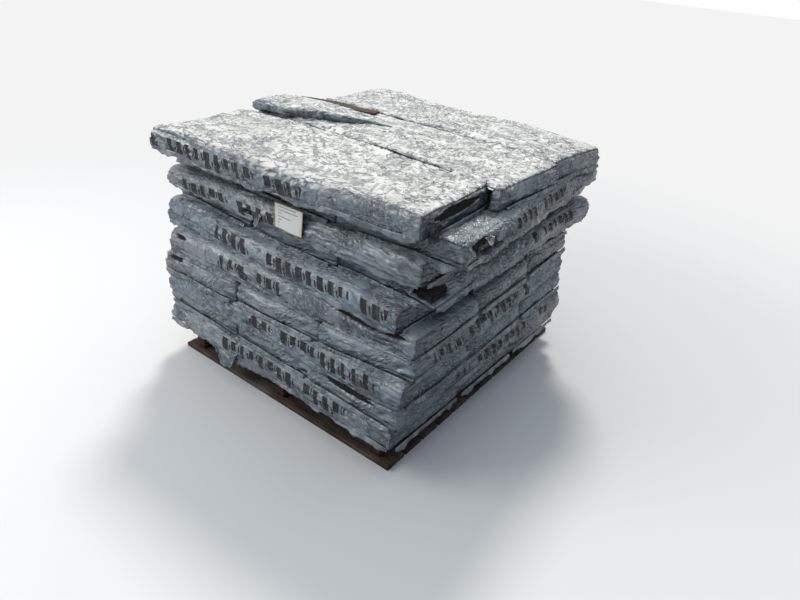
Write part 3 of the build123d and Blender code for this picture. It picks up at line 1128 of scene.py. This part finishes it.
def build_tongue(number, tongue, film, finish):
    """Torn tongue of film that curls off a face."""
    name, face, along, top, width, drop, stand, curl, sky, hollow_shade_share = tongue
    rest, quads = grid_box(stations(width / 2, TONGUE_CUT), sheet(TONGUE_HALF),
                           stations(drop / 2, TONGUE_CUT))
    u = rest[:, 0] / (width / 2)
    t = 0.5 - rest[:, 2] / drop
    seed = 60 + number
    outline = (1 - np.abs(u) ** 2.4) * (0.86 + 0.2 * noise(rest, 0.03, seed))
    down = t * drop * np.clip(outline, 0.10, 1)
    fold = 0.0035 * ridges(rest + [0, 0, 0.4], (0.022, 1, 0.05), seed + 1)
    fold += 0.004 * layered(rest, 0.03, seed + 2)
    off = stand + fold + curl * t ** 2 + 0.3 * curl * np.sin(u * 2.1 + 0.7) + rest[:, 1]
    local = hung(rest, face_frame(lies[name], face), along, off, top - down)
    # Painted shade in the tongue's folds
    crease = np.clip(0.9 - fold / 0.003, 0, 0.7)
    # Painted shade: a dark tongue takes the near black of an opening
    values = look(name, local, crease, np.clip(fold / 0.005, 0, 1), hollow_shade_share, sky)
    return add_to_bundle(name, f"loose_film_{number + 1}", local, quads, finish, film, values)


def build_skirt(name, face, film, finish):
    """Slack film that hangs over the course below along one face."""
    lie = lies[name]
    half = lie["half_long"] if face in ("side", "far") else lie["half_wide"]
    seed = seed_of(name) + 5 + list(FACES).index(face)
    rest, quads = grid_box(stations(half - SKIRT_INSET, SKIRT_CUT), sheet(SKIRT_HALF),
                           stations(0.5, 0.25))
    flat = columns(rest[:, 0], 0, 0)
    ends = near_edge(rest[:, 0], half, SKIRT_INSET, 0.05)
    scallop = 0.45 + 0.9 * noise(flat, 0.075, seed) + 0.45 * noise(flat, 0.021, seed + 1)
    drop = np.clip(film.skirt_drop * scallop * ends, 0.001, SKIRT_LONGEST)
    t = 0.5 - rest[:, 2]
    wave = 0.0035 * noise(flat, (0.035, 1, 1), seed + 2)
    wave += 0.002 * noise(flat, (0.014, 1, 1), seed + 3)
    off = 0.0035 + 0.003 * t + wave * t + rest[:, 1]
    height = SKIRT_RISE - THICK / 2 - t * (drop + SKIRT_RISE)
    local = hung(rest, face_frame(lie, face), 0.0, off, height)
    crest = np.clip(0.5 + wave / 0.005, 0, 1)
    # Painted shade in the hollows of the skirt's waves; their crests get the crest paleness
    values = look(name, local, 0.7 * (1 - crest), crest, 0.0, COVERED_SKY)
    return add_to_bundle(name, f"skirt_{name}_{face}", local, quads, finish, film, values)


def outer_faces(name):
    """Faces of a bundle that are open to view."""
    long_side = {"a": "side", "b": None, "c": "far"}[name[-1]]
    if lies[name]["runs_back"] and long_side:
        long_side = "far" if long_side == "side" else "side"
    return ["tip", "tail"] + ([long_side] if long_side else [])


def build_lifted_flap(film, finish):
    """Puffed end of film and shingles on the middle top bundle, which falls to the right."""
    size = np.array(FLAP_SIZE)
    rest, quads = grid_box(*(stations(half, FLAP_CUT) for half in size))
    shape, way = rounded(rest, size, 0.013, 0.006)
    folds, valley_shade = wrinkles_along(rest, np.full(len(rest), 0.25), 215, film, True)
    shape += way * folds[:, None] * 0.8
    along, across, up = (shape / size + 1).T / 2
    stops, *tracks = zip(*FLAP)
    front_x, front_y, back_x, back_y, rise = (np.interp(along, stops, track) for track in tracks)
    share = across + 0.07 * (1 - np.clip(up * 2, 0, 1)) * (1 - across)
    local = columns(front_x + (back_x - front_x) * share, front_y + (back_y - front_y) * share,
                    THICK / 2 + up * rise)
    crest = np.clip(folds / film.fold_depth, 0, 1)
    # Painted shade in the flap's creases
    values = look(FLAP_BUNDLE, rest, np.clip(valley_shade * 1.1, 0, 1), crest, 0.0, FLAP_SKY)
    return add_to_bundle(FLAP_BUNDLE, "lifted_film_flap", local, quads, finish, film, values)


def build_brown_strip(film, finish):
    """Bared strip of shingle with brown granules beside the lifted flap."""
    long, wide, thick = STRIP_SIZE
    rest, quads = grid_box(stations(long, STRIP_CUTS[0]), stations(wide, STRIP_CUTS[1]), sheet(thick))
    bow = 0.004 * noise(rest, 0.12, 91)
    x, y = spin(rest[:, 0], rest[:, 1], math.radians(STRIP_SLANT))
    local = columns(x, y, THICK / 2 + rest[:, 2] + bow) + STRIP_AT
    values = {"rest": local, "tone": np.ones(len(rest))}
    return add_to_bundle(FLAP_BUNDLE, "bared_shingle_strip", local, quads, finish, film, values)


def build_tag(tag, finish):
    """Paper tag whose free edge curls off the film."""
    low, high = (np.array(c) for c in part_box("paper_tag"))
    middle = (low + high) / 2
    half_x, half_z = (high[0] - low[0]) / 2, (high[2] - low[2]) / 2
    rest, quads = grid_box(stations(half_x, TAG_CUT), sheet(TAG_HALF), stations(half_z, TAG_CUT))
    x, y, z = rest.T
    bend = 0.5 + 0.5 * np.sin(x / half_x * 2.2 + 0.6)
    curl = tag.curl * bend * smooth_step(half_z, -half_z, z)
    x, y = spin(x, y - TAG_STAND - curl, lies[TAG_BUNDLE]["turn"])
    points = columns(x, y, z) + middle
    values = {"rest": rest}
    return make_object("paper_tag_sheet", points, quads, finish, "paper", values, replaces="paper_tag")


# Wood

# Sawn boards: length of the finely cut ends, rounding, roughness, depth of chips, splits and wear
BOARD_END = 0.05
BOARD_ROUNDING = 0.0022
SAWN_ROUGH = 0.0007
CHIP_DEPTH = 0.004
SPLIT_DEPTH = 0.0012
WEAR = 0.0006

# Share of red on the cut ends of stringers and of deck boards
RED_ENDS = 1.0
PALE_ENDS = 0.15


def build_board(node, finish, red_ends, seed):
    """Sawn board with worn edges, splits at the ends, dirt near the ends and painted shade in the
    splits.
    """
    low, high = (np.array(c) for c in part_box(node))
    half = (high - low) / 2
    long_axis = int(np.argmax(half))
    order = [long_axis] + [a for a in range(3) if a != long_axis]
    size = half[order]
    xs = stations(size[0], 0.006, 0.03, BOARD_END, BOARD_END)
    ys = stations(size[1], max(0.004, size[1] / 8))
    zs = stations(size[2], max(0.004, size[2] / 4))
    rest, quads = grid_box(xs, ys, zs)
    shape, way = rounded(rest, size, BOARD_ROUNDING)
    near_end = near_edge(rest[:, 0], size[0], BOARD_END)
    rough = SAWN_ROUGH * layered(rest, (0.2, 0.012, 0.012), seed)
    chip = CHIP_DEPTH * np.clip(noise(rest, 0.02, seed + 3) - 0.45, 0, 1) * near_end
    split = ridges(rest, (0.25, 0.018, 0.2), seed + 5, 8.0) * near_end
    shape += way * (rough - chip - SPLIT_DEPTH * split - WEAR)[:, None]
    points = np.zeros_like(shape)
    points[:, order] = shape
    points += (low + high) / 2
    # Splits take painted shade; soiled patches near the ends are dirt
    soiled = near_end * smooth_step(0.2, 0.6, noise(rest, 0.03, seed + 8))
    attributes = {
        "rest": rest,
        "tone": np.full(len(rest), seed * 0.613),
        "crease": np.clip(split + 0.4 * soiled, 0, 1),
        "cut_end": red_ends * near_edge(rest[:, 0], size[0], 0.004),
    }
    if np.linalg.det(np.eye(3)[order]) < 0:
        quads = quads[:, ::-1]
    piece = f"wood_{node}"
    return make_object(piece, points, quads, finish, "weathered_wood", attributes, replaces=node)


# Stage

# Floor that camera and mirror rays see fades to white between these distances from the middle
FADE_FROM = 1.4
FADE_TO = 3.4
GLOW = (0.9, 0.9, 0.9)

# Soft sun and front panel: places, the sun's angle in degrees, and what the panel aims at
SUN_AT = (-1.6, 2.4, 3.4)
SUN_ANGLE = 12
SUN_TINT = (1.0, 0.97, 0.92)
PANEL_AT = (-2.2, -2.6, 2.6)
PANEL_AIM = (0, 0, 0.4)
PANEL_SIZE = (2.0, 1.2)

# Sky on the left and on the right, and as the camera sees it
NEAR_TINT = (0.91, 0.96, 1.0)
FAR_TINT = (0.66, 0.84, 1.0)
WHITE = (1, 1, 1)


def build_floor(stage):
    """Pale floor that keeps the shadow near the load and fades to an even tone further out."""
    h = stage.floor_half
    mesh = bpy.data.meshes.new("floor")
    mesh.from_pydata([(-h, -h, 0), (h, -h, 0), (h, h, 0), (-h, h, 0)], [], [(0, 1, 2, 3)])
    floor = linked("floor", mesh)
    made, n, shader = new_material("studio_floor", 0.1)
    place = n.put("ShaderNodeNewGeometry", out="Position")
    distance = n.put("ShaderNodeVectorMath", (place,), out="Value", operation="LENGTH")
    rays = n.put("ShaderNodeLightPath").node.outputs
    seen = n.most(rays["Is Camera Ray"], rays["Is Glossy Ray"], rays["Is Transmission Ray"])
    tones = [[tone] * 3 for tone in (stage.ground_tone, stage.floor_pale)]
    n.feed(shader, {"Base Color": n.mix(seen, *tones), "Roughness": 0.9})
    glow = n.put("ShaderNodeEmission", {"Color": rgba(GLOW), "Strength": 1.0})
    far = n.times(n.ramp(distance, FADE_FROM, FADE_TO), seen)
    n.feed(made.node_tree.nodes["Material Output"],
           {"Surface": n.put("ShaderNodeMixShader", (far, shader.outputs[0], glow))})
    mesh.materials.append(made)


def aimed(name, data, place, right, up, back):
    """Lamp or camera that stands at a place, with its three directions."""
    made = linked(name, data)
    turn = Matrix(np.stack([right, up, back], axis=1).tolist()).to_4x4()
    made.matrix_world = Matrix.Translation(place) @ turn
    return made


def add_lamp(name, kind, energy, place, target, **settings):
    """Lamp that stands at a place and looks at a target."""
    lamp = bpy.data.lights.new(name, kind)
    lamp.energy = energy
    for key, value in settings.items():
        setattr(lamp, key, value)
    back = np.array(place) - np.array(target)
    back = back / np.linalg.norm(back)
    right = np.cross((0, 0, 1), back)
    right = right / np.linalg.norm(right)
    aimed(name, lamp, place, right, np.cross(back, right), back)


def build_light(stage):
    """Sky that is brighter overhead, a soft sun from behind on the left and a soft panel in front."""
    world = bpy.data.worlds.new("studio_world")
    bpy.context.scene.world = world
    world.use_nodes = True
    world.node_tree.nodes.clear()
    n = Nodes(world.node_tree)
    rays = n.put("ShaderNodeLightPath").node.outputs
    seen = n.most(rays["Is Camera Ray"], rays["Is Transmission Ray"])
    way = n.split(n.put("ShaderNodeTexCoord").node.outputs["Generated"])
    level = n.times(n.ramp(way["Z"], -0.2, 0.9, stage.horizon_level, stage.sky_level),
                    n.ramp(way["X"], -0.1, 0.9, 1.0, stage.far_side))
    shown = n.put("ShaderNodeMix", {0: seen, 2: level, 3: 1.0}, data_type="FLOAT")
    tint = n.mix(n.ramp(way["X"], -0.1, 0.9), NEAR_TINT, FAR_TINT)
    sky = n.put("ShaderNodeBackground", {"Color": n.mix(seen, tint, WHITE), "Strength": shown})
    n.feed(n.tree.nodes.new("ShaderNodeOutputWorld"), {"Surface": sky})
    add_lamp("soft_sun", "SUN", stage.key_level, SUN_AT, (0, 0, 0), angle=math.radians(SUN_ANGLE),
             color=SUN_TINT)
    add_lamp("front_panel", "AREA", stage.panel_power, PANEL_AT, PANEL_AIM, shape="RECTANGLE",
             size=PANEL_SIZE[0], size_y=PANEL_SIZE[1])


def build_camera():
    """Camera at the photograph's place and angle."""
    a, e, r = (math.radians(v) for v in (CAMERA_AZIMUTH, CAMERA_ELEVATION, CAMERA_ROLL))
    back = np.array([math.sin(a) * math.cos(e), -math.cos(a) * math.cos(e), math.sin(e)])
    level = np.array([math.cos(a), math.sin(a), 0.0])
    upright = np.cross(back, level)
    right = math.cos(r) * level + math.sin(r) * upright
    up = -math.sin(r) * level + math.cos(r) * upright
    lens = bpy.data.cameras.new("photo_camera")
    lens.sensor_width = SENSOR_WIDTH
    lens.lens = CAMERA_FOCAL_PIXELS / FRAME_WIDTH * SENSOR_WIDTH
    lens.clip_end = 200
    bpy.context.scene.camera = aimed("photo_camera", lens, CAMERA_AT, right, up, back)


# Settings

def length(name, description, default):
    return FloatProperty(name=name, description=description, default=default, unit="LENGTH")


def colour(name, description, default):
    return FloatVectorProperty(name=name, description=description, subtype="COLOR", default=default)


def factor(name, description, default):
    return FloatProperty(name=name, description=description, default=default, min=0.0, max=1.0,
                         subtype="FACTOR")


def strength(name, description, default):
    return FloatProperty(name=name, description=description, default=default, min=0.0)


class FilmSettings(bpy.types.PropertyGroup):
    """Shape and colours of the film wrap."""

    edge_radius: length("Edge radius", "Rounding of the upper edges", 0.021)
    foot_radius: length("Foot radius", "Rounding of the lower edges", 0.009)
    fold_depth: length("Fold depth", "Height of the long folds", 0.0052)
    crumple_depth: length("Crumple depth", "Height of the small crumples", 0.0022)
    pleat_depth: length("Pleat depth", "Height of the pleats on the edges", 0.0034)
    billow_depth: length("Billow depth", "Height of the broad billows", 0.0032)
    skirt_drop: length("Skirt drop", "How far slack film hangs over the course below", 0.016)
    side_bulge: length("Side bulge", "How far the sides stand out", 0.007)
    side_slack: length("Side slack", "How unevenly the sides stand out", 0.009)
    seal_depth: length("Seal depth", "How far the end seals stand out", 0.004)
    course_wave: length("Course wave", "Waviness of the courses", 0.012)
    rim_wave: length("Rim wave", "Short waves along the rims of the courses", 0.0045)
    edge_sag: length("Edge sag", "Sag of the courses at the rim", 0.009)
    # Light and dark film tones, mixed at random by broad mottle
    film_light: colour("Film, light", "Cleaner film", (0.275, 0.335, 0.395))
    film_dark: colour("Film, dark", "Shaded or soiled film", (0.165, 0.210, 0.258))
    film_grey: colour("Film, grey", "Film with fine dirt", (0.225, 0.24, 0.243))
    # Crest colour: partly whitened film, partly painted highlight on the fold crests
    crest_whitening_and_highlight: colour("Crest, pale", "Whitened crests of the folds", (0.52, 0.57, 0.62))
    # Pale top colours: dust and bleaching, partly painted light on faces turned up
    pale_dust_and_top_light: colour("Dust, pale", "Bleached dusty film", (0.88, 0.865, 0.82))
    warm_dust_and_top_light: colour("Dust, warm", "Darker dust", (0.72, 0.70, 0.65))
    # Colour of the print on the dusty top, and painted shade in its wrinkles
    top_ink_and_valley_shade: colour("Dust, shaded", "Soiled dust in the wrinkles", (0.20, 0.205, 0.21))


class PalletSettings(bpy.types.PropertyGroup):
    """Colours of the pallet lumber."""

    wood_light: colour("Wood, light", "Early wood", (0.10, 0.07, 0.05))
    wood_dark: colour("Wood, dark", "Late wood", (0.025, 0.017, 0.012))


class TagSettings(bpy.types.PropertyGroup):
    """Paper tag."""

    rim_x: length("Rim, sideways", "Where the yellow rim starts", 0.0505)
    rim_z: length("Rim, upright", "Where the yellow rim starts", 0.0345)
    curl: length("Curl", "How far the free edge stands off", 0.006)


class StageSettings(bpy.types.PropertyGroup):
    """Floor, light and camera."""

    floor_half: length("Floor half side", "Half the floor's side", 30.0)
    floor_pale: factor("Floor paleness", "Floor colour", 0.74)
    ground_tone: factor("Ground tone", "Floor colour that lights the load from below", 0.22)
    sky_level: strength("Sky level", "World light from overhead", 0.95)
    horizon_level: strength("Horizon level", "World light from the sides", 0.14)
    far_side: factor("Far side", "Share of the world light on the right", 0.32)
    key_level: strength("Key level", "Strength of the soft sun", 1.85)
    panel_power: strength("Panel power", "Power of the front panel", 54.0)


# Operators

class PALLET_OT_wood(bpy.types.Operator):
    """Dress the stringers and deck boards"""

    bl_idname = "shingle.pallet_wood"
    bl_label = "Pallet wood"

    def execute(self, context):
        wood = material("pallet_wood", wood_material, context.scene.shingle_pallet)
        for number, node in enumerate(sorted(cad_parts)):
            if node.startswith("stringer") or "board" in node:
                red_ends = RED_ENDS if node.startswith("stringer") else PALE_ENDS
                build_board(node, wood, red_ends, number + 1)
        return {"FINISHED"}


class BUNDLES_OT_film(bpy.types.Operator):
    """Wrap every bundle of the load in its film"""

    bl_idname = "shingle.film"
    bl_label = "Wrapped bundles"

    def execute(self, context):
        film = context.scene.shingle_film
        wrap = material("wrap_film", film_material, film)
        for name in sorted(lies):
            build_bundle(name, film, wrap)
        return {"FINISHED"}


class SHINGLES_OT_edges(bpy.types.Operator):
    """Lay the shingle edges that show in the openings"""

    bl_idname = "shingle.edges"
    bl_label = "Shingle edges"

    def execute(self, context):
        edge = material("shingle_edge", shingle_material)
        for number, opening in enumerate(OPENINGS):
            shingle_stack(number, opening, edge, context.scene.shingle_film)
        build_brown_strip(context.scene.shingle_film, edge)
        return {"FINISHED"}


class FILM_OT_loose(bpy.types.Operator):
    """Hang the loose tongues of film and raise the lifted flap"""

    bl_idname = "shingle.loose_film"
    bl_label = "Loose film"

    def execute(self, context):
        film = context.scene.shingle_film
        wrap = material("wrap_film", film_material, film)
        for name in sorted(lies):
            for face in outer_faces(name):
                build_skirt(name, face, film, wrap)
        for number, tongue in enumerate(TONGUES):
            build_tongue(number, tongue, film, wrap)
        build_lifted_flap(film, wrap)
        return {"FINISHED"}


class TAG_OT_paper(bpy.types.Operator):
    """Hang the paper tag"""

    bl_idname = "shingle.paper_tag"
    bl_label = "Paper tag"

    def execute(self, context):
        tag = context.scene.shingle_tag
        build_tag(tag, material("tag_paper", paper_material, tag))
        return {"FINISHED"}


class STAGE_OT_studio(bpy.types.Operator):
    """Set up the floor, the soft light and the camera"""

    bl_idname = "shingle.studio"
    bl_label = "Studio"

    def execute(self, context):
        stage = context.scene.shingle_stage
        build_floor(stage)
        build_light(stage)
        build_camera()
        return {"FINISHED"}


class VIEW3D_PT_shingle_pallet(bpy.types.Panel):
    """Lists the steps that dress the load"""

    bl_label = "Shingle pallet"
    bl_space_type = "VIEW_3D"
    bl_region_type = "UI"
    bl_category = "Shingle pallet"

    def draw(self, context):
        for step in STEPS:
            self.layout.operator(step.bl_idname)


STEPS = (PALLET_OT_wood, BUNDLES_OT_film, SHINGLES_OT_edges, FILM_OT_loose, TAG_OT_paper,
         STAGE_OT_studio)
GROUPS = {
    "shingle_film": FilmSettings,
    "shingle_pallet": PalletSettings,
    "shingle_tag": TagSettings,
    "shingle_stage": StageSettings,
}


def register():
    for group in GROUPS.values():
        bpy.utils.register_class(group)
    for name, group in GROUPS.items():
        setattr(bpy.types.Scene, name, PointerProperty(type=group))
    for step in STEPS:
        bpy.utils.register_class(step)
    bpy.utils.register_class(VIEW3D_PT_shingle_pallet)


def unregister():
    bpy.utils.unregister_class(VIEW3D_PT_shingle_pallet)
    for step in reversed(STEPS):
        bpy.utils.unregister_class(step)
    for name in GROUPS:
        delattr(bpy.types.Scene, name)
    for group in reversed(list(GROUPS.values())):
        bpy.utils.unregister_class(group)


def main():
    register()
    bpy.context.scene.view_settings.view_transform = "Standard"
    for step in STEPS:
        area, name = step.bl_idname.split(".")
        getattr(getattr(bpy.ops, area), name)()


if __name__ == "__main__":
    main()
